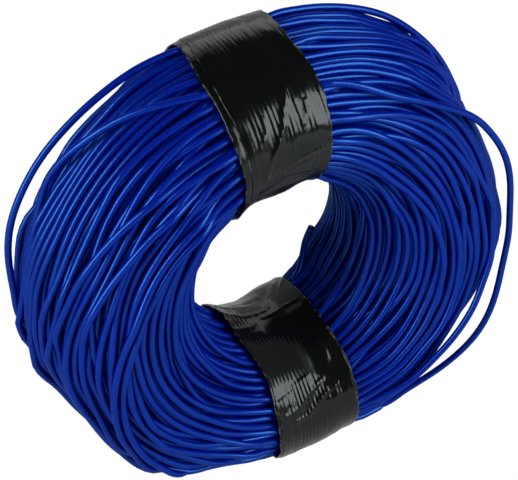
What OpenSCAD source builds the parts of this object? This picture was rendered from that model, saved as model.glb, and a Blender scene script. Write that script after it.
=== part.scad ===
// Hand-wound coil of insulated wire, tied with cloth tape at two places.
// The coil stands on its rim: its axis runs along Y and +Z is up.
// The origin is on the floor, straight below the coil's axis.
//
// A place on the bundle is given by two angles and a height:
//   turn   the angle round the coil, from +X towards +Z
//   side   the angle round the bundle, 0 at the outer rim, 90 at the back (+Y),
//          180 in the eye and 270 at the front (-Y)
//   height the distance outside the surface that the outer turns touch

/* [Wire] */
// Outer diameter of the insulated wire
wire_d = 3.6; // [2.4:0.1:4.4]
// Diameter of the copper conductor inside the insulation
conductor_d = 2; // [1:0.1:2.1]
// Length of conductor that shows past the cut insulation
conductor_show = 0.6; // [0.2:0.1:6]

/* [Bundle] */
// Outside diameter of the coil, away from the ties
coil_outer_d = 266; // [230:1:320]
// Diameter of the eye, away from the ties
coil_eye_d = 94; // [80:1:110]
// Width of the bundle along the coil's axis
bundle_w = 99; // [70:1:120]
// Angle round the coil at which the turns bulge most
bulge_at = 322; // [300:1:345]
// How far the bulge stands out at the rim
bulge_out = 4; // [0:0.5:8]
// How far the bulge stands out at the front and at the back
bulge_side = 3; // [0:0.5:6]
// Angle over which the bulge fades away
bulge_spread = 38; // [20:1:60]
// Turns laid on the outside of the bundle
outer_loops = 24; // [16:1:24]

/* [Ties] */
// Angle round the coil of the upper tie
upper_tie_at = 98; // [85:1:105]
// Angle round the coil of the lower tie, which the coil stands on
lower_tie_at = 274; // [266:1:278]
// Width of the cloth tape
tape_w = 48; // [38:1:56]
// Thickness of the wrapped tape, all its layers together
tape_wrap_t = 0.9; // [0.3:0.1:1.5]
// Thickness of the single layer at the tape's lapped end
tape_lap_t = 0.3; // [0.2:0.05:0.6]
// Sideways step of the lapped end on the wrap below it
tape_lap_step = 3; // [0:0.5:4]
// Angle round the bundle at which the upper tie's lapped end starts
upper_lap_from = -125; // [-150:5:-100]
// Angle round the bundle at which the upper tie's lapped end stops
upper_lap_to = 35; // [10:5:60]
// Angle round the bundle at which the lower tie's lapped end starts
lower_lap_from = -170; // [-200:5:-140]
// Angle round the bundle at which the lower tie's lapped end stops
lower_lap_to = -40; // [-70:5:-30]
// How far the tape stands off the turns inside the eye, where it bridges them
tape_bridge = 1; // [0.6:0.1:2.5]
// How far a tie draws in the outer rim
tie_pinch_rim = 4.2; // [0:0.2:6]
// How far the upper tie widens the eye
upper_pinch_eye = 3.8; // [0:0.2:6]
// How far the lower tie widens the eye
lower_pinch_eye = 1.6; // [0:0.2:6]
// How far a tie draws in the front and the back
tie_pinch_side = 2.2; // [0:0.2:5]
// Angle over which the turns spread again beside a tie
tie_spread = 26; // [18:1:40]
// How far the rim is pressed flat where the coil stands
foot_press = 1.2; // [0.6:0.1:2]

/* [Clearances] */
// Clearance between the outer turns and what lies above and below them
lay_gap = 0.4; // [0.3:0.1:0.8]
// Clearance between the lapped end of the tape and the wrap below it
lap_gap = 0.3; // [0.25:0.05:0.5]
// Clearance between the conductor and the insulation round it
conductor_gap = 0.05; // [0.02:0.01:0.1]

/* [Hidden] */
wire_r = wire_d / 2;
loop_rings = 24;      // rings to a turn
loop_sides = 6;       // sides of the wire in the outer turns
slack_sides = 8;      // sides of the wire in a slack turn
core_sides = 30;      // sides of the packed core's section
wrap_rings = 36;      // steps of the tape round the bundle
wrap_steps = 6;       // steps across the tape
lane_step = 360 / (outer_loops + 1); // one lane stays free for the slack turns
seam_at = lower_tie_at - 360;        // the outer turns start and end under the lower tie
first_lane_side = 21.6;              // where the first outer turn starts round the bundle
wrap_top = lay_gap + tape_wrap_t;    // height of the wrapped tape's outer face
down = 270;                          // angle round the coil that points at the floor
coil_h = rim_r(down) + wrap_top - foot_press;
coil_x = -0.4;                       // centres the coil with its slack turns over the origin

// Rows of a slack turn: angle round the coil, lane, rise above the outer turns.
// A whole lane lies on a turn, a half lane between two turns, and lane -1 is the free one.
slack_left = [
    [100, -1, 0], [105, -1, 0], [109, -1, 0], [115, -1, 2.6], [120, -1, 3.9], [125, -1, 4.4],
    [130, -1, 4.8], [135, -1, 5.7], [140, -1, 6.7], [145, -1, 7.5], [150, -1, 8], [155, -1, 8.1],
    [160, -1, 7.4], [165, -1, 5.9], [170, -1, 4], [175, -1, 2], [180, -1, 0.6], [185, -1, 0], [190, -1, 0]
];
slack_top = [
    [95, -1, 0], [90, -1, 0], [86, -1, 0], [80, -1, 1.6], [75, -1, 2.4], [70, -1, 2.8],
    [65, -1, 3], [60, -1, 3.2], [55, -1, 3.5], [50, -1, 3.9], [45, -1, 4.4], [40, -1, 4.8],
    [35, -1, 4.7], [30, -1, 4], [25, -1, 2.7], [20, -1, 1.2], [15, -1, 0.2], [10, -1, 0]
];
slack_right = [
    [92, -5.5, 0], [88, -5.5, 0], [84.5, -5.5, 0], [80, -5.6, 2.4], [75, -5.9, 4.4], [70, -6.1, 4.5],
    [65, -6.2, 4.5], [60, -6.1, 4.5], [55, -6, 4.5], [50, -5.9, 4.5], [45, -5.6, 4.5], [40, -5.4, 4.6],
    [35, -5.1, 5], [30, -5, 5.9], [25, -4.9, 7.4], [20, -4.9, 8.5], [15, -4.9, 8.6], [10, -4.9, 7.9],
    [5, -4.9, 7.2], [0, -4.9, 6.8], [-5, -4.8, 6.8], [-10, -4.8, 7.3], [-15, -4.8, 8.2], [-20, -4.8, 9.5],
    [-25, -4.8, 10.5], [-30, -4.8, 10.6], [-35, -4.8, 9.4], [-40, -4.7, 7.4], [-45, -4.7, 5.2],
    [-50, -4.6, 2.9], [-55, -4.5, 1.1], [-60, -4.5, 0.2], [-66, -4.5, 0]
];
inner_end = [
    [-72, 9.5, 0.3], [-65, 9.5, 0.3], [-58, 9.5, 0.3], [-52, 9.4, 2.4], [-46, 9.3, 5],
    [-40, 9.2, 7.2], [-35, 9.1, 8.5], [-30, 9.1, 9.2], [-25, 9.1, 9.4]
];

// Angle brought between -180 and 180
function around(angle) = angle - 360 * floor((angle + 180) / 360);
// 1 at a place round the coil, fading to 0 away from it
function near(turn, place, spread) = exp(-pow(around(turn - place) / spread, 2));
function tied(turn) = near(turn, upper_tie_at, tie_spread) + near(turn, lower_tie_at, tie_spread);
function bulged(turn) = near(turn, bulge_at, bulge_spread);

// Radius of the outer rim, radius of the eye and half the width, at an angle round the coil
function rim_r(turn) = coil_outer_d / 2 - tie_pinch_rim * tied(turn) + bulge_out * bulged(turn);
function eye_r(turn) = coil_eye_d / 2 + upper_pinch_eye * near(turn, upper_tie_at, tie_spread)
    + lower_pinch_eye * near(turn, lower_tie_at, tie_spread);
function half_w(turn) = bundle_w / 2 - tie_pinch_side * tied(turn) + bulge_side * bulged(turn);

// Distance from the coil's axis of a place on the bundle
function axis_r(turn, side, height) =
    (rim_r(turn) + eye_r(turn)) / 2 + ((rim_r(turn) - eye_r(turn)) / 2 + height) * cos(side);

// A place on the bundle as a point, standing off its height by a slack.
// Near the floor it is pressed up to where it rests.
function bundle_point(turn, side, height, slack = 0) = let (r = axis_r(turn, side, height + slack)) [
    coil_x + r * cos(turn),
    (half_w(turn) + height + slack) * sin(side),
    max(coil_h + r * sin(turn), wrap_top - height)
];

// Angle round the bundle of a lane, which moves on by one lane in each turn of the coil
function lane_side(turn, lane) = first_lane_side + lane_step * (lane + (turn - seam_at) / 360);
function unit(v) = v / norm(v);

// Ring of points across a path at its i-th point
function path_ring(path, i, r, sides) = let (
    along = unit(path[min(i + 1, len(path) - 1)] - path[max(i - 1, 0)]),
    out = unit(cross(along, [0, 1, 0])),
    over = cross(out, along)
) [for (k = [0:sides - 1]) path[i] + r * (cos(k * 360 / sides) * out + sin(k * 360 / sides) * over)];
function path_rings(path, r, sides) = [for (i = [0:len(path) - 1]) path_ring(path, i, r, sides)];

// Points of a slack turn's centreline, from its rows
function slack_path(rows) = [
    for (row = rows) bundle_point(row[0], lane_side(row[0], row[1]), row[2] - wire_r)
];
// Points of the outer turns' centreline, one unbroken winding
function outer_path() = [
    for (i = [0:outer_loops * loop_rings])
        let (turn = seam_at + i * 360 / loop_rings)
            bundle_point(turn, lane_side(turn, 0), -wire_r)
];

// Least distance between the surfaces of a winding's turns, measured on its rings' centres
function least_gap(path, d) = min([
    for (i = [0:len(path) - 1 - loop_rings / 2])
        min([for (j = [i + loop_rings / 2:len(path) - 1]) norm(path[i] - path[j])])
]) - d;
// Least distance between the surfaces of a slack turn and the outer turns
function least_between(path, other, d) =
    min([for (p = path) min([for (i = [0:len(other) - 2]) segment_gap(p, other[i], other[i + 1])])]) - d;
function segment_gap(p, a, b) = let (share = max(0, min(1, (p - a) * (b - a) / ((b - a) * (b - a)))))
    norm(p - a - share * (b - a));

// Closed surface through a row of rings; looped joins the last ring to the first.
// Otherwise each end is closed by pairing the ring's points across it.
module skin(rings, looped) {
    n = len(rings);
    k = len(rings[0]);
    last = looped ? n - 1 : n - 2;
    sides = [for (i = [0:last], j = [0:k - 1])
        let (a = i * k + j, b = i * k + (j + 1) % k, c = ((i + 1) % n) * k + (j + 1) % k, d = ((i + 1) % n) * k + j)
            each [[a, b, c], [a, c, d]]];
    end = (n - 1) * k;
    caps = looped ? [] : [for (j = [0:k / 2 - 2]) each [
        [j, k - 1 - j, k - 2 - j], [j, k - 2 - j, j + 1],
        [end + j, end + j + 1, end + k - 2 - j], [end + j, end + k - 2 - j, end + k - 1 - j]
    ]];
    polyhedron(points = [for (ring = rings) each ring], faces = concat(sides, caps));
}

module blue_plastic() {
    color([0.04, 0.13, 0.6]) children();
}
module black_tape() {
    color([0.06, 0.06, 0.06]) children();
}

// The turns packed inside the bundle, as one core
module inner_turns() {
    height = -wire_d - lay_gap;
    blue_plastic() skin([
        for (i = [0:loop_rings - 1]) let (turn = seam_at + i * 360 / loop_rings)
            [for (j = [0:core_sides - 1]) bundle_point(turn, -j * 360 / core_sides, height)]
    ], true);
}

module outer_turns() {
    blue_plastic() skin(path_rings(outer_path(), wire_r, loop_sides), false);
}

module slack_turn(rows) {
    blue_plastic() skin(path_rings(slack_path(rows), wire_r, slack_sides), false);
}
module slack_turn_left() {
    slack_turn(slack_left);
}
module slack_turn_top() {
    slack_turn(slack_top);
}
module slack_turn_right() {
    slack_turn(slack_right);
}

// Where the free end was cut, and the direction in which it points
function end_tip() = slack_path(inner_end)[len(inner_end) - 1];
function end_dir() = unit(end_tip() - slack_path(inner_end)[len(inner_end) - 2]);

// The insulation of the free end, a tube: its rings run out along the outside and back along the bore
module inner_end_insulation() {
    bore_rings = path_rings(slack_path(inner_end), conductor_d / 2 + conductor_gap, slack_sides);
    blue_plastic() skin(concat(
        path_rings(slack_path(inner_end), wire_r, slack_sides),
        [for (i = [len(bore_rings) - 1:-1:0]) bore_rings[i]]
    ), true);
}

// The conductor in the free end, which runs on past the cut insulation
module inner_end_conductor() {
    path = concat(slack_path(inner_end), [end_tip() + conductor_show * end_dir()]);
    color([0.72, 0.42, 0.24]) skin(path_rings(path, conductor_d / 2, slack_sides), false);
}

// A place on a tie: steps round the bundle and a distance across the tape
function wrap_point(tie_at, side, across, height) = let (
    slack = tape_bridge * (1 - cos(side)) / 2,
    turn = tie_at + asin(across / axis_r(tie_at, side, height + slack))
) bundle_point(turn, side, height, slack);
// Ring round the tape's thickness: across its outer face and back along its inner face
function wrap_ring(tie_at, side, shift, low, high) = concat(
    [for (k = [0:wrap_steps]) wrap_point(tie_at, side, shift + tape_w * (k / wrap_steps - 0.5), high)],
    [for (k = [wrap_steps:-1:0]) wrap_point(tie_at, side, shift + tape_w * (k / wrap_steps - 0.5), low)]
);

// The tape wrapped round the bundle
module tape_wrap(tie_at) {
    black_tape() skin([
        for (i = [0:wrap_rings - 1]) wrap_ring(tie_at, i * 360 / wrap_rings, 0, lay_gap, wrap_top)
    ], true);
}
// The last stretch of the tape, lapped over the wrap from one angle round the bundle to another
module tape_lap(tie_at, side_from, side_to, shift) {
    low = wrap_top + lap_gap;
    black_tape() skin([
        for (side = [side_from:360 / wrap_rings:side_to])
            wrap_ring(tie_at, side, shift, low, low + tape_lap_t)
    ], false);
}

module upper_tape() {
    tape_wrap(upper_tie_at);
}
module upper_tape_end() {
    tape_lap(upper_tie_at, upper_lap_from, upper_lap_to, -tape_lap_step);
}
module lower_tape() {
    tape_wrap(lower_tie_at);
}
module lower_tape_end() {
    tape_lap(lower_tie_at, lower_lap_from, lower_lap_to, tape_lap_step);
}

echo("Least gap of the outer turns to themselves, mm:", least_gap(outer_path(), wire_d));
echo("Least gap of each slack stretch to the outer turns, mm:",
    [for (rows = [slack_left, slack_top, slack_right, inner_end])
        least_between(slack_path(rows), outer_path(), wire_d)]);

inner_turns();
outer_turns();
slack_turn_left();
slack_turn_top();
slack_turn_right();
inner_end_insulation();
inner_end_conductor();
upper_tape();
upper_tape_end();
lower_tape();
lower_tape_end();
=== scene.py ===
import bpy
import numpy as np
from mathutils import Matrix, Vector


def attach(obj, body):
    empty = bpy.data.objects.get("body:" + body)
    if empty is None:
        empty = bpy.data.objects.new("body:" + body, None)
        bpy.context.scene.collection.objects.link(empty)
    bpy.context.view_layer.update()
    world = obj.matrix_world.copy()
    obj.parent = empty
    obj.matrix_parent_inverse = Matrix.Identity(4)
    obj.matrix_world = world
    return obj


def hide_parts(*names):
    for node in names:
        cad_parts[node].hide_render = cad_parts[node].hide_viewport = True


# A hand-wound coil of blue building wire with two ties of black cloth tape, standing on its rim.
# A place on the bundle is (turn, side, height): turn is the angle round the coil from +X to +Z, side the
# angle round the bundle (0 outer rim, 90 back, 180 eye, 270 front), height the distance outside the
# surface that the outer turns touch. Angles are in degrees and lengths in metres.

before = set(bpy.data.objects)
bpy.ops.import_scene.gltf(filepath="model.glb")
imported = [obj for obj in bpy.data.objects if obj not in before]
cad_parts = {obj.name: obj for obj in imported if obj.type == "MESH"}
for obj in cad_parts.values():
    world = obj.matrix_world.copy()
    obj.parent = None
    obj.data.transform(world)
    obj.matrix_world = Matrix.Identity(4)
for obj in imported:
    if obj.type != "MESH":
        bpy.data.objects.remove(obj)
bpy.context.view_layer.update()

coil = {
    "wire": 0.0036,          # outer diameter of the insulated wire
    "outerWidth": 0.266,     # across the rim, away from the ties
    "eyeWidth": 0.094,       # across the eye, away from the ties
    "width": 0.099,          # along the axis
    "middleX": -0.0004,      # X of the coil's axis, which sets the coil's box in the middle
    "bulgeAt": 322,          # turn round which the coil bulges
    "bulgeOut": 0.004,
    "bulgeSide": 0.003,
    "bulgeSpread": 38,
    "upperTie": 98,
    "lowerTie": 274,
    "tieSpread": 26,         # angle over which the turns open out again beside a tie
    "pinchRim": 0.0042,      # how far a tie draws in the rim, the eye and each side
    "pinchEyeUpper": 0.0038,
    "pinchEyeLower": 0.0016,
    "pinchSide": 0.0022,
    "lift": 0.0001,          # height of the rim's lowest place over the floor, were it not pressed flat
    "tapeTop": 0.0006,       # height of the wrapped tape's outer face
    "tapeUnder": -0.0003,    # height of the wrapped tape's inner face
    "tapeBridge": 0.0004,    # how far the tape stands off the turns deep in the eye
}
wireRadius = coil["wire"] / 2
# Places where the loosely wound turns stand out or lie in: turn, side, the spreads of both, and how far in mm
swells = [
    (228, 320, 12, 24, 4.3), (205, 340, 11, 24, -3), (212, 356, 7, 15, -1.5), (195, 18, 8, 20, 1.2),
    (138, 10, 19, 32, -3.2), (130, 44, 20, 28, -3.6), (151, 44, 9, 28, -2), (50, 6, 20, 26, -0.2),
    (30, 346, 12, 28, -5), (14, 332, 9, 24, -1.2), (356, 318, 9, 25, 3), (326, 306, 12, 26, -4.2),
    (295, 300, 12, 24, -1.4), (345, 140, 40, 42, 2.5), (334, 152, 16, 28, 1.4), (325, 140, 9, 24, 2.7),
    (137, 216, 16, 24, -1.5), (82, 213, 8, 25, -1.4), (94, 38, 13, 26, -1.5), (276, 312, 12, 22, -1.3),
    (285, 300, 6, 24, -1.6), (198, 308, 11, 14, -1.8), (222, 302, 9, 14, -1), (198, 358, 9, 20, -3),
    (98, 228, 7, 24, 1.3), (115, 228, 7, 24, -1.5), (282, 126, 9, 24, 1.8), (122, 54, 8, 20, -1.2),
    (35, 345, 5, 20, -1.5),
]


# An angle brought into -180 to 180
def halfTurn(angle):
    return (angle + 180) % 360 - 180


# 1 at an angle round the coil or the bundle, fading as exp(-(angle away / spread)^2)
def near(angle, at, spread):
    return np.exp(-(halfTurn(np.asarray(angle, float) - at) / spread) ** 2)


# How far the turns stand out at a place: the sum of height * exp(-(turn away / turn spread)^2) *
# exp(-(side away / side spread)^2) over the swells
def swellAt(turn, side):
    total = 0
    for swellTurn, swellSide, turnSpread, sideSpread, height in swells:
        total = total + height / 1000 * near(turn, swellTurn, turnSpread) * near(side, swellSide, sideSpread)
    return total


# Rim radius, eye radius and half width at a turn: the plain size, less the pinch of the ties, plus the bulge
def sectionAt(turn):
    upper = near(turn, coil["upperTie"], coil["tieSpread"])
    lower = near(turn, coil["lowerTie"], coil["tieSpread"])
    bulge = near(turn, coil["bulgeAt"], coil["bulgeSpread"])
    rim = coil["outerWidth"] / 2 - coil["pinchRim"] * (upper + lower) + coil["bulgeOut"] * bulge
    eye = coil["eyeWidth"] / 2 + coil["pinchEyeUpper"] * upper + coil["pinchEyeLower"] * lower
    half = coil["width"] / 2 - coil["pinchSide"] * (upper + lower) + coil["bulgeSide"] * bulge
    return rim, eye, half


axisZ = float(sectionAt(270)[0]) + coil["lift"]


# Point of the bundle: an ellipse of the section's half depth and half width, both plus the height, the
# swell and what a tape is bridged by, set at its middle radius round the coil's axis. It is never lower
# than where the tape under it is pressed flat on the floor.
def place(turn, side, height, bridged=0.0):
    rim, eye, half = sectionAt(turn)
    turnRad, sideRad = np.radians(turn), np.radians(side)
    out = height + bridged + swellAt(turn, side)
    reach = (rim + eye) / 2 + ((rim - eye) / 2 + out) * np.cos(sideRad)
    across = (half + out) * np.sin(sideRad)
    z = np.maximum(axisZ + reach * np.sin(turnRad), np.maximum(coil["tapeTop"] - height, 0))
    return np.stack(np.broadcast_arrays(coil["middleX"] + reach * np.cos(turnRad), across, z), axis=-1)


# Metres along the section's outline to one degree of side: the length of the ellipse's tangent, which is
# the root of (half depth * sin)^2 + (half width * cos)^2
def outlineStep(turn, side):
    rim, eye, half = sectionAt(turn)
    sideRad = np.radians(side)
    return np.radians(np.hypot((rim - eye) / 2 * np.sin(sideRad), half * np.cos(sideRad)))


view = {
    "azimuth": -27.76,       # degrees round from -Y towards +X
    "elevation": 36.97,
    "distance": 0.7103,
    "lens": 95.13,
    "sensor": 36,
    "shiftX": -0.01332,
    "shiftY": 0.01649,
    "clip": (0.05, 20),
}


# The camera looks at the middle of the coil's axis from the given azimuth, elevation and distance
def addCamera():
    data = bpy.data.cameras.new("camera")
    camera = bpy.data.objects.new("camera", data)
    bpy.context.scene.collection.objects.link(camera)
    az, el = np.radians(view["azimuth"]), np.radians(view["elevation"])
    back = Vector((np.sin(az) * np.cos(el), -np.cos(az) * np.cos(el), np.sin(el)))
    camera.location = Vector((coil["middleX"], 0, axisZ)) + back * view["distance"]
    camera.rotation_euler = (-back).to_track_quat("-Z", "Y").to_euler()
    data.lens = view["lens"]
    data.sensor_width = view["sensor"]
    data.shift_x, data.shift_y = view["shiftX"], view["shiftY"]
    data.clip_start, data.clip_end = view["clip"]
    bpy.context.scene.camera = camera


addCamera()
print("camera placed")


# A mesh from a grid of points (rows, columns, 3), each grid cell a quad. Rows may close on themselves and
# columns always do. An open row is capped at both ends: a round one with a fan about its middle, a flat
# one with strips that pair its points across the thickness. The UV map has a pair of values for each
# point. Faces are turned outwards by the sign of the volume, the sum of a . (b x c) + a . (c x d) over the
# quads a, b, c, d.
def gridMesh(name, points, loopRows, cap="fan", uv=None):
    rows, columns = points.shape[:2]
    row = np.arange(rows if loopRows else rows - 1)
    row, column = [index.ravel() for index in np.meshgrid(row, np.arange(columns), indexing="ij")]
    here, beyond = row * columns, (row + 1) % rows * columns
    beside = (column + 1) % columns
    quads = np.stack([here + column, here + beside, beyond + beside, beyond + column], 1)
    coords = points.reshape(-1, 3)
    triangles = np.empty((0, 3), int)
    lastRow = (rows - 1) * columns
    if not loopRows and cap == "fan":
        ring = np.arange(columns)
        after = (ring + 1) % columns
        first, last = np.full(columns, len(coords)), np.full(columns, len(coords) + 1)
        coords = np.vstack([coords, points[0].mean(0), points[-1].mean(0)])
        firstFan = np.stack([after, ring, first], 1)
        lastFan = np.stack([lastRow + ring, lastRow + after, last], 1)
        triangles = np.vstack([firstFan, lastFan])
    elif not loopRows:
        top = np.arange(columns // 2 - 1)
        under = columns - 1 - top
        strip = np.stack([top, under, under - 1, top + 1], 1)
        quads = np.vstack([quads, strip, lastRow + strip[:, ::-1]])
    a, b, c, d = [coords[quads[:, k]] for k in range(4)]
    volume = (a * np.cross(b, c)).sum() + (a * np.cross(c, d)).sum()
    if volume < 0:
        quads, triangles = quads[:, ::-1], triangles[:, ::-1]
    corner = np.concatenate([quads.ravel(), triangles.ravel()])
    size = np.repeat([4, 3], [len(quads), len(triangles)])
    mesh = bpy.data.meshes.new(name)
    mesh.vertices.add(len(coords))
    mesh.vertices.foreach_set("co", coords.astype(np.float32).ravel())
    mesh.loops.add(len(corner))
    mesh.loops.foreach_set("vertex_index", corner.astype(np.int32))
    mesh.polygons.add(len(size))
    mesh.polygons.foreach_set("loop_start", np.concatenate([[0], np.cumsum(size)[:-1]]).astype(np.int32))
    mesh.polygons.foreach_set("use_smooth", np.ones(len(size), bool))
    mesh.update(calc_edges=True)
    if uv is not None:
        flat = uv.reshape(-1, 2)
        flat = np.vstack([flat, flat[[0, -1]]])[:len(coords)]
        layer = mesh.uv_layers.new(name="UVMap")
        layer.data.foreach_set("uv", flat[corner].astype(np.float32).ravel())
    mesh.validate()
    piece = bpy.data.objects.new(name, mesh)
    bpy.context.scene.collection.objects.link(piece)
    return piece


# Rings square to a path: centre + radius * (cos(angle) * out + sin(angle) * over), where out is square to
# the path and to the coil's axis, and over is square to both
def tubeRings(path, radius, sides):
    along = np.gradient(path, axis=0)
    along /= np.linalg.norm(along, axis=1, keepdims=True)
    out = np.cross(along, [0.0, 1.0, 0.0])
    out /= np.linalg.norm(out, axis=1, keepdims=True)
    over = np.cross(out, along)
    angle = np.linspace(0, 2 * np.pi, sides, endpoint=False)[None, :, None]
    return path[:, None] + radius * (np.cos(angle) * out[:, None] + np.sin(angle) * over[:, None])


# Distances from each of a path's points to the next
def pathSteps(path):
    return np.linalg.norm(np.diff(path, axis=0), axis=1)


# Length of a path: the sum of the distances between its points
def pathLength(path):
    return float(pathSteps(path).sum())


# A tube along a path with a UV map of metres along the wire and the share of the way round it
def tube(name, path, radius, sides):
    rings = tubeRings(path, radius, sides)
    along = np.concatenate([[0], np.cumsum(pathSteps(path))])
    uv = np.stack(np.broadcast_arrays(along[:, None], np.arange(sides)[None] / sides), axis=-1)
    return gridMesh(name, rings, False, uv=uv)


winding = {
    "sections": 144,         # places round the coil at which the wire's place is worked out
    "profile": 900,          # steps round the bundle of the profile that the next turn rests on
    "start": -86,            # the winding starts and ends under the lower tie
    "coreDepth": 0.0082,     # depth of the centreline of the first turn laid on the core
    "bend": 9.0,             # how sharply, per metre, a turn drops beside one that it crosses
    "tightening": 160,       # steps in which a turn is pulled tight
    "settling": 24,          # steps in which a turn slides to its place
    "slide": 0.0011,         # slide in a step on a slope of 1
    "grip": 0.05,            # share of its slide that a turn is drawn back by in a step
    "probe": 0.4,            # the slope is read so many wires to each side
    "stiffness": 5,          # sections along the rim over which a slide is shared
    "yielding": 14,          # sections over which a turn comes free of what is laid already
    "ahead": 30,             # sections worked out past the end of a turn
    "overlap": 2,            # sections of the turn before that a turn starts from
    "fading": 15,            # sections over which the last slide fades in what comes next
    "wanderLengths": (0.07, 0.2),    # metres over which the turns stray one by one
    "steadied": 0.7,         # share of that which a tie takes away
    "steadySpread": 24,      # angle over which it does
    "turnWaves": (1, 2, 3, 2, 1),    # waves of a layer's sway round the coil, and round the bundle
    "sideWaves": (2, 3, 1, 5, 6),
    "pressed": -0.0005,      # how far the turns may stand out under a tie
    "tieReach": 0.039,       # metres over which a tie's hold on the turns fades
    "loose": 0.006,          # how much further the turns may stand out away from the ties
    "softness": 0.0003,      # height over which a turn is brought under a tie's ceiling
    "standOut": 0.0023,      # how far the highest turns stand out over the average
    "averaged": (9, 7),      # degrees round the coil and the bundle over which that average is taken
}
# Each layer: how many turns, the side that it starts from and which way it goes, the sides of its tube,
# and how far in metres its turns stray one by one and sway together. A drift is a turn, its spread, a
# side, its spread, and the degrees round the bundle by which the turns there lie further on.
layers = {
    "thirdLayer": {
        "turns": 66, "from": 20, "way": 1, "sides": 6, "wander": 0.0006, "sway": 0.0008, "seed": 11},
    "secondLayer": {
        "turns": 62, "from": 65, "way": -1, "sides": 8, "wander": 0.0013, "sway": 0.0012, "seed": 23},
    "outerTurns": {
        "turns": 50, "from": 21.6, "way": 1, "sides": 12, "wander": 0.0016, "sway": 0.0014, "seed": 37,
        "drifts": [(207, 36, 318, 44, 24), (342, 42, 300, 34, 17), (45, 26, 250, 24, -7)]},
}
sectionCount = winding["sections"]
profileCount = winding["profile"]


# Distance from the coil's axis of the surface at a side: middle radius + half depth * cos(side)
def axisDistance(turn, side):
    rim, eye, half = sectionAt(turn)
    return (rim + eye) / 2 + (rim - eye) / 2 * np.cos(np.radians(side))


# The height that a tie lets a wire's centreline have: pressed - radius + loose * (1 - hold), where the hold
# is 1.5 * exp(-(distance from the tie's middle / tieReach)^2), but not over 1
def tieCeiling(turn, side):
    reach = np.degrees(winding["tieReach"] / axisDistance(turn, side))
    hold = np.clip(1.5 * (near(turn, coil["upperTie"], reach) + near(turn, coil["lowerTie"], reach)), 0, 1)
    return winding["pressed"] - wireRadius + winding["loose"] * (1 - hold)


# A height brought smoothly under a ceiling: ceiling - soft * ln(1 + exp((ceiling - height) / soft))
def pressed(height, ceiling):
    soft = winding["softness"]
    return ceiling - soft * np.logaddexp(0, (ceiling - height) / soft)


# Value of a profile table at each section's side, straight between its two nearest steps
def sampleProfile(table, section, side):
    at = (side % 360) * profileCount / 360
    low = np.floor(at).astype(int)
    share = at - low
    return table[section, low % profileCount] * (1 - share) + table[section, (low + 1) % profileCount] * share


# Raises the profile to where a wire laid beside this one would rest: height + root of (wire^2 - distance^2)
def layOn(table, section, side, height):
    step = outlineStep(winding["start"] + section * 360 / sectionCount, side)
    reach = int(np.ceil(coil["wire"] / step.min() * profileCount / 360)) + 1
    middle = np.round(side * profileCount / 360).astype(int)
    cell = middle[:, None] + np.arange(-reach, reach + 1)[None]
    away = (cell * 360 / profileCount - side[:, None]) * step[:, None]
    laid = height[:, None] + np.sqrt(np.maximum(coil["wire"] ** 2 - away ** 2, 0))
    inside = np.abs(away) < coil["wire"]
    old = table[section[:, None], cell % profileCount]
    table[section[:, None], cell % profileCount] = np.where(inside, np.maximum(old, laid), old)


# A bell curve of the given spread in samples, its values adding up to 1
def bell(spread):
    at = np.arange(-int(3 * spread), int(3 * spread) + 1)
    weight = np.exp(-at ** 2 / (2 * spread ** 2))
    return weight / weight.sum()


# Values averaged with their neighbours by a bell curve, the end values carried on past the ends
def smoothed(values, spread):
    weight = bell(spread)
    return np.convolve(np.pad(values, len(weight) // 2, mode="edge"), weight, mode="valid")


# Smooth random values along a wire: random numbers 5 mm apart averaged by a bell curve, scaled to a
# spread, and read off at each sample's distance along the wire
def smoothNoise(rng, distance, along, spread):
    knot = 0.005
    values = smoothed(rng.standard_normal(int(distance[-1] / knot) + 2), along / knot)
    return np.interp(distance, np.arange(len(values)) * knot, values * spread / values.std())


# How far a turn settles from its wished side: in each step it slides by -slide * slope towards the nearest
# valley and is drawn back by grip * offset, both averaged along the wire, which is stiff
def settle(table, section, wished, offset, fixed):
    turn = winding["start"] + section * 360 / sectionCount
    step = outlineStep(turn, wished)
    stiffness = winding["stiffness"] * coil["outerWidth"] / 2 / axisDistance(turn, wished).mean()
    probe = winding["probe"] * coil["wire"] / step
    free = np.clip((np.arange(len(wished)) - fixed) / winding["yielding"], 0, 1)
    for _ in range(winding["settling"]):
        side = wished + offset
        rise = sampleProfile(table, section, side + probe) - sampleProfile(table, section, side - probe)
        slope = np.clip(rise / (2 * winding["probe"] * coil["wire"]), -1, 1)
        push = -winding["slide"] * slope / step - winding["grip"] * offset
        offset = offset + free * smoothed(push, stiffness)
    return offset


# The heights of a turn pulled tight over what it lies on: never under the profile, and elsewhere
# the middle of its neighbours less what its bend allows, bend * spacing^2 / 2
def pullTight(floorHeight, fixed, spacing):
    height = floorHeight.copy()
    height[:len(fixed)] = fixed
    sag = winding["bend"] * spacing[1:-1] ** 2 / 2
    for _ in range(winding["tightening"]):
        height[1:-1] = np.maximum(floorHeight[1:-1], (height[:-2] + height[2:]) / 2 - sag)
        height[:len(fixed)] = fixed
    return height


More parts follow.
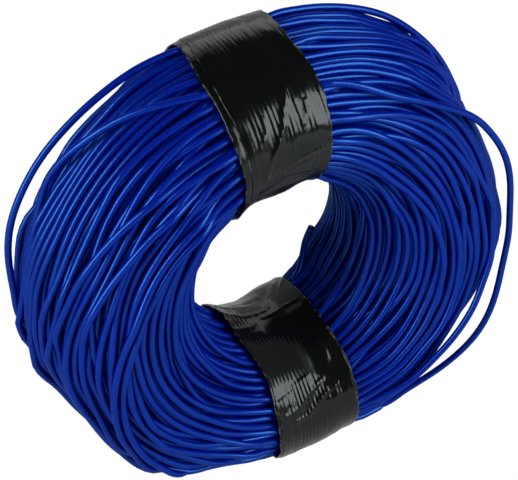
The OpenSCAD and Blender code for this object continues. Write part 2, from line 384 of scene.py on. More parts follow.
# Lays one layer turn by turn over the profile, and returns its sections, sides and heights. The wished side
# goes evenly round the bundle, plus the turns' own straying, the layer's sway, which is a sum of sines of
# (waves * turn + waves * side + phase), and its drifts.
def windLayer(table, layer):
    rng = np.random.default_rng(layer["seed"])
    ahead = winding["ahead"]
    index = np.arange(layer["turns"] * sectionCount + ahead)
    turn = winding["start"] + index * 360 / sectionCount
    base = layer["from"] + layer["way"] * index * 360 / sectionCount / layer["turns"]
    step = outlineStep(turn, base)
    radius = axisDistance(turn, base)
    spacing = radius * 2 * np.pi / sectionCount
    distance = np.cumsum(spacing)
    tied = sum(near(turn, coil[tie], winding["steadySpread"]) for tie in ("upperTie", "lowerTie"))
    own = sum(smoothNoise(rng, distance, along, layer["wander"]) for along in winding["wanderLengths"])
    turnWaves, sideWaves = np.array(winding["turnWaves"]), np.array(winding["sideWaves"])
    phase = rng.uniform(0, 360, len(turnWaves))
    wave = np.sin(np.radians(turn[:, None] * turnWaves + base[:, None] * sideWaves + phase)).sum(1)
    sway = wave * layer["sway"] * radius * 2 / coil["outerWidth"]
    wished = base + (own * (1 - winding["steadied"] * np.clip(tied, 0, 1)) + sway) / step
    for atTurn, turnSpread, atSide, sideSpread, degrees in layer.get("drifts", []):
        wished += degrees * near(turn, atTurn, turnSpread) * near(base, atSide, sideSpread)
    offset, height = np.zeros(len(index)), np.zeros(len(index))
    for k in range(layer["turns"]):
        first = k * sectionCount
        part = slice(max(first - winding["overlap"], 0), first + sectionCount + ahead)
        section = index[part] % sectionCount
        done = first - part.start
        offset[part] = settle(table, section, wished[part], offset[part], done)
        side = wished[part] + offset[part]
        height[part] = pullTight(sampleProfile(table, section, side), height[part][:done], spacing[part])
        after = offset[part.stop:part.stop + 4 * winding["fading"]]
        after[:] = offset[part.stop - 1] * np.exp(-np.arange(len(after)) / winding["fading"])
        newTurn = slice(done, done + sectionCount)
        layOn(table, section[newTurn], side[newTurn], height[part][newTurn])
    laid = layer["turns"] * sectionCount
    return index[:laid], (wished + offset)[:laid], height[:laid]


# A table smoothed down its rows and along them by bell curves of two spreads in degrees: its Fourier
# transform times exp(-2 * (pi * waves to a degree * spread)^2) both ways
def blurred(table, alongTurns, alongSides):
    turnWave = np.fft.fftfreq(table.shape[0])[:, None] * table.shape[0] / 360
    sideWave = np.fft.fftfreq(table.shape[1])[None] * table.shape[1] / 360
    curve = np.exp(-2 * (np.pi * turnWave * alongTurns) ** 2 - 2 * (np.pi * sideWave * alongSides) ** 2)
    return np.fft.ifft2(np.fft.fft2(table) * curve).real


# Rows of a slack turn: turn, lane, and rise in mm above the outer turns' centreline. With no rise it lies
# among the outer turns, with one up to 0.5 it rests on the turns below, and above that it stands as high as
# the rise says. The slack turns run within about 2 mm of those in the part's source, the inner end goes 4 mm
# further than there, and the crossing and loose turns are added here. Each runs on until it is under a tape.
slackRows = {
    "slackTurnLeft": [
        (100, -1, 0), (105, -1, 0), (109, -1, 0.4), (115, -1, 2.5), (120, -1, 3.2), (125, -1, 3.6),
        (130, -1, 4.3), (135, -1, 5.1), (140, -1, 6.1), (145, -1, 7.1), (150, -1, 7.3), (155, -1, 7.7),
        (160, -1, 7.4), (165, -1, 6.2), (170, -1, 4), (175, -1, 1.4), (180, -1, 0.3), (185, -1, 0),
        (190, -1, 0), (274, -1, 0)],
    "slackTurnTop": [
        (95, -1, 0), (90, -1, 0), (87, -1, 0.3), (80, -1, 0.8), (75, -1, 1), (70, -1, 1.6),
        (65, -1, 2.3), (60, -1, 3.1), (55, -1, 3.5), (50, -1, 3), (45, -1, 2.6), (40, -1, 2.9),
        (35, -1, 2.8), (30, -1, 1.9), (25, -1, 0.5), (20, -1, 0), (10, -1, 0), (-86, -1, 0)],
    "slackTurnRight": [
        (92, -5.5, 0), (88, -5.5, 0), (84.5, -5.5, 0), (80, -5.6, 2.4), (75, -5.9, 4.4), (70, -6.1, 4.5),
        (65, -6.2, 4.5), (60, -6.1, 4.5), (55, -6, 4.5), (50, -5.9, 4.5), (45, -5.6, 4.5), (40, -5.4, 4.6),
        (35, -5.1, 5), (30, -5, 5.9), (25, -4.9, 7.4), (20, -4.9, 8.5), (15, -4.9, 8.6), (10, -4.9, 7.9),
        (5, -4.9, 7.2), (0, -4.9, 6.8), (-5, -4.8, 6.8), (-10, -4.8, 7.3), (-15, -4.8, 8.2),
        (-20, -4.8, 9.5), (-25, -4.8, 10.6), (-30, -4.8, 11), (-35, -4.8, 10), (-40, -4.7, 8),
        (-45, -4.7, 5.7), (-50, -4.6, 2.9), (-55, -4.5, 1.1), (-60, -4.5, 0.2), (-66, -4.5, 0),
        (-86, -4.5, 0)],
    "crossingTurn": [
        (95, -4.6, 0), (100, -4.6, 0), (104, -4.5, 0), (109, -4.2, 0.3), (114, -3.9, 1.8), (119, -3.5, 2),
        (123, -3.1, 2), (128, -2.7, 2), (134, -2.3, 2), (140, -1.8, 2), (146, -1.4, 1), (154, -1.2, 0),
        (165, -0.9, 0), (180, -0.7, 0), (200, -0.6, 0), (230, -0.6, 0), (274, -0.6, 0)],
    "crossingTurnFront": [
        (92, -9, 0), (112, -8.97, 0), (127, -8.83, 0), (134, -8.64, 0.4), (142.5, -8.42, 0.4),
        (154.5, -8.22, 0.4), (169.5, -7.86, 0.4), (176.5, -7.56, 0.4), (184.5, -7.2, 0.4),
        (191.5, -6.84, 0.4), (200.5, -6.4, 0.4), (208, -6.03, 0.4), (213, -5.77, 0.4), (222, -5.4, 0.4),
        (232, -5.2, 0.4), (240, -5.1, 0), (274, -5.1, 0)],
    "crossingTurnBeside": [
        (92, -9.5, 0), (112, -9.45, 0), (127, -9.25, 0), (134, -9.06, 0.4), (142.5, -8.84, 0.4),
        (154.5, -8.64, 0.4), (169.5, -8.28, 0.4), (176.5, -7.98, 0.4), (184.5, -7.62, 0.4),
        (191.5, -7.26, 0.4), (200.5, -6.82, 0.4), (208, -6.46, 0.4), (213, -6.24, 0.4), (222, -5.95, 0.4),
        (232, -5.75, 0.4), (240, -5.65, 0), (274, -5.65, 0)],
    "crossingTurnMiddle": [
        (92, -8, 0), (112, -7.8, 0), (127, -7.5, 0), (136, -7.19, 0.4), (146, -6.87, 0.4),
        (153.5, -6.61, 0.4), (160, -6.33, 0.4), (166.5, -6.02, 0.4), (171, -5.85, 0.4), (177, -5.75, 0.4),
        (183, -5.62, 0.4), (190.5, -5.42, 0.4), (196.5, -5.3, 0.4), (201.5, -5.24, 0.4), (212, -5.1, 0.4),
        (222, -4.9, 0), (274, -4.5, 0)],
    "crossingTurnLow": [
        (92, -7.2, 0), (112, -6.9, 0), (127, -6.5, 0), (139.5, -6.02, 0.4), (150.5, -5.56, 0.4),
        (161, -5.13, 0.4), (166.5, -4.95, 0.4), (170, -4.77, 0.4), (174, -4.55, 0.4), (177.5, -4.41, 0.4),
        (185, -4.32, 0.4), (189, -4.28, 0.4), (198, -4.2, 0), (274, -4, 0)],
    "looseTurnRight": [
        (92, -6.1, 0), (40, -6.1, 0), (14, -6.1, 0), (8, -6.1, 0.5), (0, -6.1, 1), (-6, -6.2, 1.2),
        (-12, -6.4, 2.6), (-20.5, -6.6, 3.9), (-29.5, -6.8, 3.4), (-37, -7, 2.8), (-43.5, -7.1, 1.6),
        (-49, -7.1, 1), (-55, -7.1, 0.6), (-60, -7.1, 0.3), (-64, -7.1, 0), (-86, -7.1, 0)],
    "innerEndInsulation": [
        (-74, 9.5, 0), (-66, 9.5, 0), (-57, 9.5, 0), (-54, 9.5, 1.6), (-51, 9.4, 2.8), (-46, 9.3, 5),
        (-40, 9.2, 6.7), (-35, 9.1, 7.9), (-30, 9.1, 8.9), (-25, 9.1, 9.5), (-19.5, 9.15, 9.4)],
}
slack = {
    "laneStep": 360 / 25,    # degrees of side from one lane to the next
    "firstLane": 21.6,       # side of lane 0 at the winding's start
    "finer": 3,              # points of the finished curve to a section
    "rests": 0.0002,         # rise from which a turn rests on the others
    "stands": 0.0005,        # rise from which it stands as high as the rise says
    "laneBlur": 1.2,         # sections over which its lane, its rise and its height are evened out
    "riseBlur": 0.8,
    "heightBlur": 1.5,
    "liftBlur": 1.0,
    "sides": 16,
}


# A smooth curve through points a, b, c, d by Catmull-Rom pieces: from b to c, half of 2b + (c - a) t +
# (2a - 5b + 4c - d) t^2 + (3b - a - 3c + d) t^3 for t from 0 to 1
def smoothCurve(points, steps):
    ends = np.vstack([2 * points[0] - points[1], points, 2 * points[-1] - points[-2]])
    a, b, c, d = ends[:-3, None], ends[1:-2, None], ends[2:-1, None], ends[3:, None]
    t = (np.arange(steps) / steps)[None, :, None]
    square, cube = 2 * a - 5 * b + 4 * c - d, 3 * b - a - 3 * c + d
    curve = 0.5 * (2 * b + (c - a) * t + square * t ** 2 + cube * t ** 3)
    return np.vstack([curve.reshape(-1, points.shape[1]), points[-1]])


# A slack turn at every section that it passes: section number, side and rise. The lane counts turns
# round the bundle, and moves on by one in each turn of the coil.
def slackPlaces(rows):
    turn, lane, rise = np.array(rows, float)[:: 1 if rows[0][0] < rows[-1][0] else -1].T
    first = int(np.ceil((turn[0] - winding["start"]) * sectionCount / 360))
    last = int(np.floor((turn[-1] - winding["start"]) * sectionCount / 360))
    index = np.arange(first, last + 1)
    at = winding["start"] + index * 360 / sectionCount
    lane = smoothed(np.interp(at, turn, lane), slack["laneBlur"])
    rise = smoothed(np.interp(at, turn, rise), slack["riseBlur"])
    side = slack["firstLane"] + slack["laneStep"] * (lane + (at - winding["start"]) / 360)
    return index, side, rise / 1000


# Lays the stretches of the slack turns that lie among the outer turns, before those are wound
def reserveLanes(table):
    for rows in slackRows.values():
        index, side, rise = slackPlaces(rows)
        low = rise < slack["rests"]
        section = index[low] % sectionCount
        if len(section):
            layOn(table, section, side[low], sampleProfile(table, section, side[low]))


rest = np.full((sectionCount, profileCount), -winding["coreDepth"])
wound = {}
for name, layer in layers.items():
    if name == "outerTurns":
        under = rest.copy()
        reserveLanes(rest)
    wound[name] = windLayer(rest, layer)
# What the finished bundle stands out by on the average is taken off again, so that the outer turns keep to
# the coil's own outline, and the profile under them goes with them.
surplus = blurred(rest - wireRadius, *winding["averaged"]) + winding["standOut"]
rest -= surplus
under -= surplus
print("wire wound:", sum(layer["turns"] for layer in layers.values()), "turns")


# Centreline of a wound layer, with the bundle's surplus height taken off, and kept off the floor by the
# tape that lies under it
def layerPath(index, side, height):
    turn = winding["start"] + index * 360 / sectionCount
    height = pressed(height - sampleProfile(surplus, index % sectionCount, side), tieCeiling(turn, side))
    points = place(turn, side, height)
    points[:, 2] = np.maximum(points[:, 2], coil["tapeTop"] + wireRadius)
    return points


# A slack turn's centreline: among the outer turns where it has no rise, on the turns below where it rests,
# and elsewhere at rise - radius - swell, or on the turns below where these are higher. What lies on the
# other turns carries those that come after it.
def slackPath(rows):
    index, side, rise = slackPlaces(rows)
    section = index % sectionCount
    at = winding["start"] + index * 360 / sectionCount
    among = sampleProfile(under, section, side)
    resting = sampleProfile(rest, section, side)
    standing = np.maximum(rise - wireRadius - swellAt(at, side), resting)
    above = np.where(rise > slack["stands"], standing, resting)
    free = rise > slack["rests"]
    height = smoothed(np.where(free, above, among), slack["heightBlur"])
    height = smoothed(np.where(free, np.maximum(height, above), height), slack["liftBlur"])
    height = np.where(free, height, pressed(height, tieCeiling(at, side)))
    layOn(rest, section[free], side[free], height[free])
    return smoothCurve(place(at, side, height), slack["finer"])


# A new material, its node tree and the shader that it starts with
def newMaterial(name):
    material = bpy.data.materials.new(name)
    material.use_nodes = True
    return material, material.node_tree, material.node_tree.nodes["Principled BSDF"]


# Sets inputs of a node by name or number: a number or colour is set, another node's output is linked
def setInputs(tree, node, inputs):
    for key, value in inputs.items():
        if isinstance(value, bpy.types.NodeSocket):
            tree.links.new(value, node.inputs[key])
        else:
            node.inputs[key].default_value = value


# A new node of a kind with its settings and inputs
def addNode(tree, kind, inputs=None, **settings):
    node = tree.nodes.new("ShaderNode" + kind)
    for key, value in settings.items():
        setattr(node, key, value)
    setInputs(tree, node, inputs or {})
    return node


# One operation on one or two values, each a number or a node's output
def addMath(tree, operation, first, second=0.0):
    return addNode(tree, "Math", {0: first, 1: second}, operation=operation).outputs[0]


# A smooth noise from 0 to 1 on Object coordinates, of so many cycles to a metre
def addNoise(tree, cycles):
    coords = addNode(tree, "TexCoord")
    return addNode(tree, "TexNoise", {"Vector": coords.outputs["Object"], "Scale": cycles}).outputs["Fac"]


# A colour between two others, by a share of the second
def addBlend(tree, share, first, second):
    inputs = {"Factor": share, "A": first, "B": second}
    return addNode(tree, "Mix", inputs, data_type="RGBA").outputs["Result"]


# A value carried straight from one range to another, and kept inside it
def addRange(tree, value, toRange=(0, 1), fromRange=(0, 1)):
    inputs = {
        "Value": value, "From Min": fromRange[0], "From Max": fromRange[1],
        "To Min": toRange[0], "To Max": toRange[1]}
    return addNode(tree, "MapRange", inputs).outputs["Result"]


# A bump by a height from 0 to 1, of a strength and a depth in metres
def addBump(tree, height, strength, depth):
    inputs = {"Height": height, "Strength": strength, "Distance": depth}
    return addNode(tree, "Bump", inputs).outputs["Normal"]


wireLook = {
    "blue": (0.0002, 0.0075, 0.25, 1),
    "darkBlue": (0.0001, 0.005, 0.2, 1),
    "sheen": (9.5, 38, 100, 1),      # tint of its gloss, over 1 to make up for the low index below
    "gloss": 0.5,
    "ior": 1.07,             # so low that its rims stay blue
    "clouding": 60,          # cycles of slow colour change to a metre
    "scuffing": 900,         # cycles of the fine noise in its roughness and bump
    "roughness": (0.22, 0.35),
    "bump": (0.08, 0.0002),  # strength, and depth in metres
}


# Satin PVC: two near blues mixed by slow noise, with a fine noise in its roughness and bump
def wirePlastic():
    material, tree, shader = newMaterial("bluePlastic")
    cloud, fine = addNoise(tree, wireLook["clouding"]), addNoise(tree, wireLook["scuffing"])
    setInputs(tree, shader, {
        "Base Color": addBlend(tree, cloud, wireLook["blue"], wireLook["darkBlue"]),
        "Roughness": addRange(tree, fine, wireLook["roughness"]),
        "Normal": addBump(tree, fine, *wireLook["bump"]),
        "IOR": wireLook["ior"],
        "Specular IOR Level": wireLook["gloss"],
        "Specular Tint": wireLook["sheen"],
    })
    return material


tapeLook = {
    "black": (0.0022, 0.0023, 0.0025, 1),
    "grey": (0.005, 0.0051, 0.0048, 1),
    # pale along the edges: frayed threads, and a painted highlight for the light that the cut edges catch
    "threadAndEdgeGlint": (0.1, 0.095, 0.075, 1),
    "gloss": 0.38,
    "tint": (0.86, 1, 0.98, 1),      # tint of its gloss, a little cool
    "roughness": (0.08, 0.24),
    "dullness": 1,           # roughness of the patches rubbed dull
    "mottling": 90,          # cycles to a metre of black and grey, of the breaks in the pale edges with their painted highlight, and of the weave
    "glintFraying": 260,
    "weave": 1400,
    "bump": (0.1, 0.0001),   # strength of the weave, and its depth in metres
    "edge": (0.486, 0.497),  # widths from the tape's middle at which the pale edges with their painted highlight start and are full
    "broken": (0.5, 0.66),   # values of their noise at which they start and are full
}


# Coated cloth tape: near black mottled by slow noise, a fine woven bump, and rougher where the piece's dull
# attribute says so. Pale broken edges run along it, frayed threads with a painted highlight for the light
# that the cut edges catch, where the UV map's first value comes within about 1% of 0 or 1.
def tapeCloth():
    material, tree, shader = newMaterial("blackCloth")
    cloud = addNoise(tree, tapeLook["mottling"])
    mottled = addBlend(tree, cloud, tapeLook["black"], tapeLook["grey"])
    coords = addNode(tree, "TexCoord")
    split = addNode(tree, "SeparateXYZ", {"Vector": coords.outputs["UV"]})
    fromMiddle = addMath(tree, "ABSOLUTE", addMath(tree, "SUBTRACT", split.outputs["X"], 0.5))
    edge = addRange(tree, fromMiddle, fromRange=tapeLook["edge"])
    broken = addRange(tree, addNoise(tree, tapeLook["glintFraying"]), fromRange=tapeLook["broken"])
    # frayed threads and a painted highlight along the cut edges, broken up by noise
    threadsAndEdgeGlint = addMath(tree, "MULTIPLY", edge, broken)
    rubbed = addNode(tree, "Attribute", attribute_name="dull").outputs["Fac"]
    matt = addRange(tree, rubbed, (0, tapeLook["dullness"]))
    setInputs(tree, shader, {
        "Base Color": addBlend(tree, threadsAndEdgeGlint, mottled, tapeLook["threadAndEdgeGlint"]),
        "Roughness": addMath(tree, "MAXIMUM", addRange(tree, cloud, tapeLook["roughness"]), matt),
        "Normal": addBump(tree, addNoise(tree, tapeLook["weave"]), *tapeLook["bump"]),
        "Specular IOR Level": tapeLook["gloss"],
        "Specular Tint": tapeLook["tint"],
    })
    return material


copperLook = {
    "bright": (0.72, 0.36, 0.19, 1),
    "dulled": (0.42, 0.19, 0.1, 1),
    "dulling": 1500,         # cycles of bright and dulled to a metre
    "roughness": 0.35,
}


# Drawn copper, dulled in patches by noise
def copperStrands():
    material, tree, shader = newMaterial("copperStrands")
    patches = addNoise(tree, copperLook["dulling"])
    setInputs(tree, shader, {
        "Base Color": addBlend(tree, patches, copperLook["bright"], copperLook["dulled"]),
        "Metallic": 1,
        "Roughness": copperLook["roughness"],
    })
    return material


bluePlastic = wirePlastic()
blackCloth = tapeCloth()
copper = copperStrands()
print("finishes mixed")


# Gives a piece its finish, and has it ride on the coil's only body in place of its CAD nodes
def finishPiece(piece, material, slot, *cadNodes):
    piece.data.materials.append(material)
    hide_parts(*cadNodes)
    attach(piece, "root")


for name, layer in layers.items():
    path = layerPath(*wound[name])
    piece = tube(name, path, wireRadius, layer["sides"])
    node = "outer_turns" if name == "outerTurns" else "inner_turns"
    finishPiece(piece, bluePlastic, "wire_insulation", node)
    print(name, "laid,", round(pathLength(path), 2), "m of wire")

slackNodes = {
    "crossingTurn": "outer_turns",
    "crossingTurnFront": "outer_turns",
    "crossingTurnBeside": "outer_turns",
    "crossingTurnMiddle": "outer_turns",
    "crossingTurnLow": "outer_turns",
    "looseTurnRight": "outer_turns",
    "slackTurnLeft": "slack_turn_left",
    "slackTurnTop": "slack_turn_top",
    "slackTurnRight": "slack_turn_right",
    "innerEndInsulation": "inner_end_insulation",
}
for name, node in slackNodes.items():
    path = slackPath(slackRows[name])
    if name == "innerEndInsulation":
        innerEnd = path
    piece = tube(name, path, wireRadius, slack["sides"])
    finishPiece(piece, bluePlastic, "wire_insulation", node)
print("slack turns laid")

core = {
    "columns": 120,          # points round the bundle
    "gap": 0.0006,           # how far the third layer lies over it
}


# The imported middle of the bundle: the section's outline, a gap under the third layer
def innerCore():
    turn = np.arange(sectionCount)[:, None] * 360 / sectionCount
    side = -np.arange(core["columns"])[None] * 360 / core["columns"]
    points = place(*np.broadcast_arrays(turn, side), -winding["coreDepth"] - wireRadius - core["gap"])
    piece = gridMesh("innerTurns", points, True)
    finishPiece(piece, bluePlastic, "wire_insulation", "inner_turns")


innerCore()

conductor = {
    "diameter": 0.002,
    "inside": 0.003,         # how far back inside the insulation it starts, and how far it shows past it
    "show": 0.0003,
    "strandTurn": 0.018,     # length in which the strands go once round
    "strands": 6,
    "waist": 0.82,           # radius between two strands, as a share of that on a strand
    "rings": 20,
    "sides": 48,
}


# Stranded copper: a tube with a lobe for each strand, turning as it goes, of radius * (waist + (1 - waist)
# * the size of cos(strands / 2 * (angle + twist)))
def addConductor(insulation):
    tip, back = insulation[-1], insulation[-4]
    heading = (tip - back) / np.linalg.norm(tip - back)
    inside, show = conductor["inside"], conductor["show"]
    path = tip + heading * np.linspace(-inside, show, conductor["rings"])[:, None]
    angle = np.arange(conductor["sides"])[None] * 2 * np.pi / conductor["sides"]
    turned = 2 * np.pi * (inside + show) / conductor["strandTurn"]
    twist = np.linspace(0, turned, conductor["rings"])[:, None]
    lobes = np.abs(np.cos(conductor["strands"] / 2 * (angle + twist)))
    radius = conductor["diameter"] / 2 * (conductor["waist"] + (1 - conductor["waist"]) * lobes)
    rings = tubeRings(path, radius[..., None], conductor["sides"])
    piece = gridMesh("innerEndConductor", rings, False)
    finishPiece(piece, copper, "copper_strands", "inner_end_conductor")


addConductor(innerEnd)
print("inner end cut")

# Each tape's edges, low and high, are rows of side and distance across from the tie's middle in mm, towards
# smaller and towards larger turns. The lap is the last stretch of the tape, from one side to another, and
# inset is how far its two edges lie inside those of the wrap below it. Dull is a patch rubbed dull: its
# middle across, its side, half its width in mm and half its length in degrees, and how dull. Stringy is
# where the ribs stand out more: the middle, the side, both spreads, and by how much. A fold is a line of
# (across, side) with its width and height in mm.
tapes = {
    "upper": {
        "tie": coil["upperTie"], "seed": 5, "lap": (-125, 35), "inset": (0.2, 3.4),
        "dull": (0, -118, 60, 22, 0.36), "stringy": (0, -70, 20, 20, 0.3),
        "low": [(-180, -20), (-135, -18), (-118, -17.9), (-104, -19.5), (-88, -21.3), (-72, -22.9),
                (-56, -24.2), (-38, -23.8), (-18, -22.4), (0, -23), (16, -25), (34, -27), (60, -27),
                (90, -25.5), (140, -22), (180, -20)],
        "high": [(-180, 24.5), (-135, 25), (-116, 25.3), (-96, 24), (-74, 24.3), (-54, 24.4), (-38, 25),
                 (-20, 25.2), (0, 23.2), (16, 21.2), (34, 19.4), (60, 19.6), (90, 21), (140, 23),
                 (180, 24.5)],
        "folds": [
            ([(-7, -47), (-5, -54), (-2, -60), (0, -68), (3.5, -76), (8, -84), (12, -92),
              (14, -100)], 1.5, 0.55),
            ([(9, -50), (7.5, -58), (8.5, -66), (11, -72)], 1.4, 0.3),
            ([(-14, -58), (-12, -66), (-9, -71)], 1.2, 0.25),
            ([(4, -98), (-1.5, -96), (-9.5, -93), (-18, -91)], 1.1, 0.5),
            ([(2, -103), (-5, -100), (-11, -97)], 0.9, 0.35),
            ([(13, -106), (6, -104), (-2, -105), (-10, -108), (-17, -106)], 1.3, 0.5),
            ([(22, -112), (14, -116), (4, -115), (-8, -118)], 1.6, 0.5)]},
    "lower": {
        "tie": coil["lowerTie"], "seed": 8, "lap": (-170, -40), "inset": (1.2, 0.8),
        "dull": (-14, -146, 22, 15, 1), "stringy": (-12, -118, 14, 22, 0.8),
        "low": [(-180, -26.5), (-164, -27.5), (-156, -24.5), (-148, -22.9), (-132, -21.4), (-116, -23),
                (-106, -22.7), (-92, -23.3), (-64, -22), (-50, -20.5), (-34, -18.8), (0, -19), (40, -21),
                (60, -24), (120, -25), (152, -27.5), (174, -26), (180, -26.5)],
        "high": [(-180, 21.5), (-166, 21.4), (-138, 23.5), (-126, 24.4), (-112, 24), (-86, 24.5), (-70, 24.6),
                 (0, 24), (90, 24), (120, 22.5), (164, 20.8), (180, 21.5)],
        "folds": [
            ([(-12, -102), (-5, -104), (0.7, -110), (7.4, -116), (14.5, -118), (18, -124)], 1.4, 0.5),
            ([(-17, -108), (-9, -112), (-3, -119), (5, -124), (12, -127)], 1.3, 0.35),
            ([(-20, -122), (-10, -127), (2, -132)], 1.2, 0.25),
            ([(14, -134), (15, -142), (13, -150)], 1.1, 0.3),
            ([(-27, 170), (-14, 174), (0, 171), (12, 163), (20, 152)], 1.8, 0.6),
            ([(-25, -172), (-13, -176), (-4, 178), (8, 176), (19, 178)], 1.5, 0.5),
            ([(-24, 158), (-10, 162), (4, 160), (16, 148)], 1.6, 0.45)]},
}
cloth = {
    "ribPitch": 0.0022,      # distance from one rib to the next; they run along the tape
    "rib": 0.000066,
    "ribShare": (0.75, 0.45),        # share of it that the ribs have, and how much that changes
    "ribLimits": (0.15, 1.5),
    "crease": 0.00006,       # spread of the fine creases
    "longCrease": 0.7,       # share of that for the long ones
    "eyeCrease": 0.0003,     # spread of those inside the eye
    "grid": (360, 140),      # rows and columns of the noises
    "gridWidth": 0.07,       # width that the columns cover
    "blurs": ((4, 2.5), (16, 1.4), (5, 9), (14, 8)),     # cells along and across: fine, long, eye, ribs
    "deepest": -0.0002,      # the relief goes no lower
    "ragged": 0.0006,        # spread of the cut edges
    "raggedBlur": 3,         # rows over which they, and the edges' given places, are evened out
    "edgeBlur": 4,
    "wrap": 0.0009,          # thickness of the wrap, and of the lap on it
    "lap": 0.0003,
    "lapGap": 0.00005,
    "sink": 0.0004,          # how deep inside the wrap the lap's first end starts
    "taper": 14,             # degrees over which it comes up
    "teeth": 2.5,            # degrees by which a dull patch's ends run out and in along the ribs
    "ruffle": 6000,          # and degrees to a metre of relief
    "patchFade": 3,          # degrees over which its ends fade; its sides fade over a third of its half width
    "wrapStep": 0.75,        # degrees from one row to the next
    "lapStep": 0.6,
    "rowLength": 0.00077,    # metres from one row to the next in the UV map
    "columns": 90,
}


# Height of a fold at each place: height * exp(-(distance to the nearest of its pieces / width)^2)
def foldAt(across, along, line, width, height):
    start, step = line[:-1], np.diff(line, axis=0)
    away = np.full(across.shape, np.inf)
    for (x, y), (dx, dy) in zip(start, step):
        share = np.clip(((across - x) * dx + (along - y) * dy) / (dx ** 2 + dy ** 2), 0, 1)
        away = np.minimum(away, np.hypot(across - x - share * dx, along - y - share * dy))
    return height * np.exp(-(away / width) ** 2)


# Smooth random values on a grid: random numbers blurred by a number of cells both ways, spread 1
def clothNoise(rng, shape, alongRows, alongColumns):
    values = rng.standard_normal(shape)
    values = blurred(values, alongRows * 360 / shape[0], alongColumns * 360 / shape[1])
    return values / values.std()


# Value of a noise at each place: straight between the two nearest rows, a degree apart, and at the nearest
# column
def readNoise(values, across, side):
    rows, columns = values.shape
    low = np.floor(side).astype(int) % rows
    share = side - np.floor(side)
    column = np.round((across / cloth["gridWidth"] + 0.5) * columns).astype(int)
    column = np.clip(column, 0, columns - 2)
    return values[low, column] * (1 - share) + values[(low + 1) % rows, column] * share


# Place of the tape at a distance across it: turn = tie + asin(across / distance from the coil's axis). It
# is bridged by tapeBridge * (1 - cos(side)) / 2.
def tapePlace(tie, side, across, height):
    rim, eye, _ = sectionAt(tie)
    bridged = coil["tapeBridge"] * (1 - np.cos(np.radians(side))) / 2
    reach = (rim + eye) / 2 + ((rim - eye) / 2 + height + bridged) * np.cos(np.radians(side))
    turn = tie + np.degrees(np.arcsin(across / reach))
    return place(turn, side, height, bridged)


# How far the cloth stands off its even height: ribs of rib * share * cos(2 pi * across / pitch), fine and
# long creases, deeper creases by (-cos(side) - 0.1) * 1.6 in the eye, and folds, which are measured along the
# section's outline. A fold that runs past side 180 is laid in two parts.
def clothRelief(tape, across, side):
    rng = np.random.default_rng(tape["seed"])
    noises = [clothNoise(rng, cloth["grid"], *blur) for blur in cloth["blurs"]]
    fine, long, deep, ribbed = [readNoise(values, across, side) for values in noises]
    inEye = np.clip((-np.cos(np.radians(side)) - 0.1) * 1.6, 0, 1)
    relief = cloth["crease"] * (fine + cloth["longCrease"] * long) + cloth["eyeCrease"] * inEye * deep
    even, uneven = cloth["ribShare"]
    share = np.clip(even + uneven * ribbed, *cloth["ribLimits"])
    middle, at, wide, spread, more = tape["stringy"]
    share = share + more * np.exp(-((across * 1000 - middle) / wide) ** 2) * near(side, at, spread)
    relief = relief + cloth["rib"] * share * np.cos(2 * np.pi * across / cloth["ribPitch"])
    sides = np.arange(-180, 181)
    metres = np.concatenate([[0], np.cumsum(outlineStep(tape["tie"], sides[:-1] + 0.5))])
    along = np.interp(halfTurn(side), sides, metres)
    for line, width, height in tape["folds"]:
        foldAcross, foldSide = np.array(line, float).T
        foldAlong = np.interp(halfTurn(foldSide), sides, metres)
        jumps = np.abs(np.diff(foldAlong)) > metres[-1] / 2
        parts = np.split(np.stack([foldAcross / 1000, foldAlong], 1), np.where(jumps)[0] + 1)
        for part in parts:
            if len(part) > 1:
                relief = relief + foldAt(across, along, part, width / 1000, height / 1000)
    return relief


# How dull the cloth is rubbed: strength inside a patch, whose ends are drawn in by teeth * cos(2 pi *
# across / pitch) + ruffle * relief, and 0 outside
def dullAt(tape, across, side, relief):
    middle, at, wide, spread, strength = tape["dull"]
    teeth = cloth["teeth"] * np.cos(2 * np.pi * across / cloth["ribPitch"]) + cloth["ruffle"] * relief
    inside = np.clip((spread - np.abs(halfTurn(side - at)) - teeth) / cloth["patchFade"], 0, 1)
    return strength * inside * np.clip(3 - 3 * np.abs(across * 1000 - middle) / wide, 0, 1)


# The tape as a grid: each row runs across its outer face and back across its inner face, between edges
# that are the given ones, evened out, plus ragged noise. The UV map goes from 0 to 1 across it.
def tapeBand(name, tape, sides, inset, base, thickness, closed):
    rng = np.random.default_rng(tape["seed"] + 100)
    edges = []
    for key, inwards in (("low", inset[0]), ("high", -inset[1])):
        given = np.interp(sides, *np.array(tape[key], float).T, period=360)
        ragged = smoothed(rng.standard_normal(len(sides)), cloth["raggedBlur"]) * cloth["ragged"]
        edges.append(smoothed(given, cloth["edgeBlur"]) / 1000 + inwards / 1000 + ragged)
    low, high = edges
    share = np.linspace(0, 1, cloth["columns"])
    across = low[:, None] + (high - low)[:, None] * share[None]
    side = np.broadcast_to(sides[:, None], across.shape)
    relief = clothRelief(tape, across, side)
    if not closed:
        base = base - cloth["sink"] * np.clip(1 - (sides[:, None] - sides[0]) / cloth["taper"], 0, 1)
    lift = np.maximum(relief, cloth["deepest"])
    outer = tapePlace(tape["tie"], side, across, base + thickness + lift)
    inner = tapePlace(tape["tie"], side, across, base + (0 if closed else lift))
    points = np.concatenate([outer, inner[:, ::-1]], 1)
    metres = np.cumsum(np.full(len(sides), cloth["rowLength"]))
    uv = np.stack(np.broadcast_arrays(np.concatenate([share, share[::-1]])[None], metres[:, None]), -1)
    piece = gridMesh(name, points, closed, cap="strip", uv=uv)
    dull = dullAt(tape, across, side, relief)
    values = np.concatenate([dull, dull[:, ::-1]], 1).astype(np.float32).ravel()
    piece.data.attributes.new("dull", "FLOAT", "POINT").data.foreach_set("value", values)
    return piece


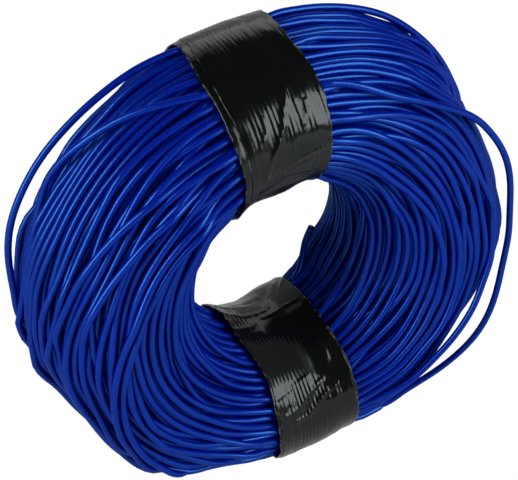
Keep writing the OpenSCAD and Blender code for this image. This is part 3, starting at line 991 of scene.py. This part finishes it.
for which, tape in tapes.items():
    around = np.arange(-180, 180, cloth["wrapStep"])
    wrap = tapeBand(which + "Tape", tape, around, (0, 0), coil["tapeUnder"], cloth["wrap"], True)
    finishPiece(wrap, blackCloth, "cloth_tape", which + "_tape")
    lapped = np.arange(*tape["lap"], cloth["lapStep"])
    lapBase = coil["tapeUnder"] + cloth["wrap"] + cloth["lapGap"]
    lap = tapeBand(which + "TapeEnd", tape, lapped, tape["inset"], lapBase, cloth["lap"], False)
    finishPiece(lap, blackCloth, "cloth_tape", which + "_tape_end")
    print(which, "tape wrapped")

stageLook = {
    "half": 3.0,             # half the floor's width
    "curve": 0.6,            # radius of the curve in which its back edge goes up into the backdrop
    "height": 3.2,
    "colour": 0.55,
    "roughness": 0.9,
    "seenGlow": 0.85,        # share of its own white in what the camera sees, the rest being lit and shaded
    "glossGlow": 0.1,        # and in what gloss and glass show
    "glow": 1.13,
    "fill": 0.3,             # the world's light on the object
    "dark": 0.02,            # the dark room that gloss shows in front and above
}


# White to the camera and pale in gloss and glass, and still darkened by the object's shadow: the share of its
# own glow is the larger of camera ray * seenGlow and (glossy or transmission ray) * glossGlow
def paleStage():
    material, tree, shader = newMaterial("paleStage")
    shade = stageLook["colour"]
    setInputs(tree, shader, {"Base Color": (shade, shade, shade, 1), "Roughness": stageLook["roughness"]})
    glow = addNode(tree, "Emission", {"Strength": stageLook["glow"]})
    ray = addNode(tree, "LightPath").outputs
    seen = addMath(tree, "MULTIPLY", ray["Is Camera Ray"], stageLook["seenGlow"])
    either = addMath(tree, "MAXIMUM", ray["Is Glossy Ray"], ray["Is Transmission Ray"])
    shown = addMath(tree, "MULTIPLY", either, stageLook["glossGlow"])
    share = addMath(tree, "MAXIMUM", seen, shown)
    mix = addNode(tree, "MixShader", {0: share, 1: shader.outputs[0], 2: glow.outputs[0]})
    setInputs(tree, tree.nodes["Material Output"], {"Surface": mix.outputs[0]})
    return material


# The floor and the backdrop in one sheet: flat, then a quarter circle, then upright
def addStage():
    half, curve = stageLook["half"], stageLook["curve"]
    angle = np.radians(np.arange(0, 91, 6))
    y = np.concatenate([[-half], half - curve + curve * np.sin(angle), [half]])
    z = np.concatenate([[0], curve - curve * np.cos(angle), [stageLook["height"]]])
    across = np.linspace(-half, half, 2)
    points = [(x, b, c) for b, c in zip(y, z) for x in across]
    faces = [(2 * k, 2 * k + 1, 2 * k + 3, 2 * k + 2) for k in range(len(y) - 1)]
    mesh = bpy.data.meshes.new("stage")
    mesh.from_pydata(points, [], faces)
    mesh.materials.append(paleStage())
    stage = bpy.data.objects.new("stage", mesh)
    bpy.context.scene.collection.objects.link(stage)


# The world: white behind the object, dark where gloss looks past the backdrop, and an even fill light. Its
# strength is the larger of (camera or transmission ray) and fill, or dark for a glossy ray.
def addWorld():
    world = bpy.data.worlds.new("studio")
    bpy.context.scene.world = world
    world.use_nodes = True
    tree = world.node_tree
    ray = addNode(tree, "LightPath").outputs
    inputs = {"Factor": ray["Is Glossy Ray"], "A": stageLook["fill"], "B": stageLook["dark"]}
    lit = addNode(tree, "Mix", inputs, data_type="FLOAT")
    seen = addMath(tree, "MAXIMUM", ray["Is Camera Ray"], ray["Is Transmission Ray"])
    strength = addMath(tree, "MAXIMUM", seen, lit.outputs["Result"])
    setInputs(tree, tree.nodes["Background"], {"Strength": strength, "Color": (1, 1, 1, 1)})


# Each lamp as it stands from the coil's middle: the angle round from +X, the angle up and the distance,
# and then its width and height and its level
lamps = {
    "leftLamp": (188, 20, 1.5, (0.6, 1.1), 0.74),
    "frontLamp": (304, 24, 1.5, (1, 1.1), 0.84),
    "backLamp": (60, 30, 1.5, (1.3, 0.6), 0.08),
}


# A soft lamp: an area light turned towards the coil's middle, of power = level * pi^2 * distance^2, which
# lights a surface that faces it with pi times the level
def addLamp(name, azimuth, elevation, distance, size, level):
    data = bpy.data.lights.new(name, "AREA")
    data.shape = "RECTANGLE"
    data.size, data.size_y = size
    data.energy = level * np.pi ** 2 * distance ** 2
    lamp = bpy.data.objects.new(name, data)
    bpy.context.scene.collection.objects.link(lamp)
    az, el = np.radians(azimuth), np.radians(elevation)
    heading = Vector((np.cos(az) * np.cos(el), np.sin(az) * np.cos(el), np.sin(el)))
    lamp.location = Vector((0, 0, axisZ)) + heading * distance
    lamp.rotation_euler = (-heading).to_track_quat("-Z", "Y").to_euler()


addStage()
addWorld()
for name, lamp in lamps.items():
    addLamp(name, *lamp)
print("stage built")

bpy.context.scene.view_settings.view_transform = "Standard"
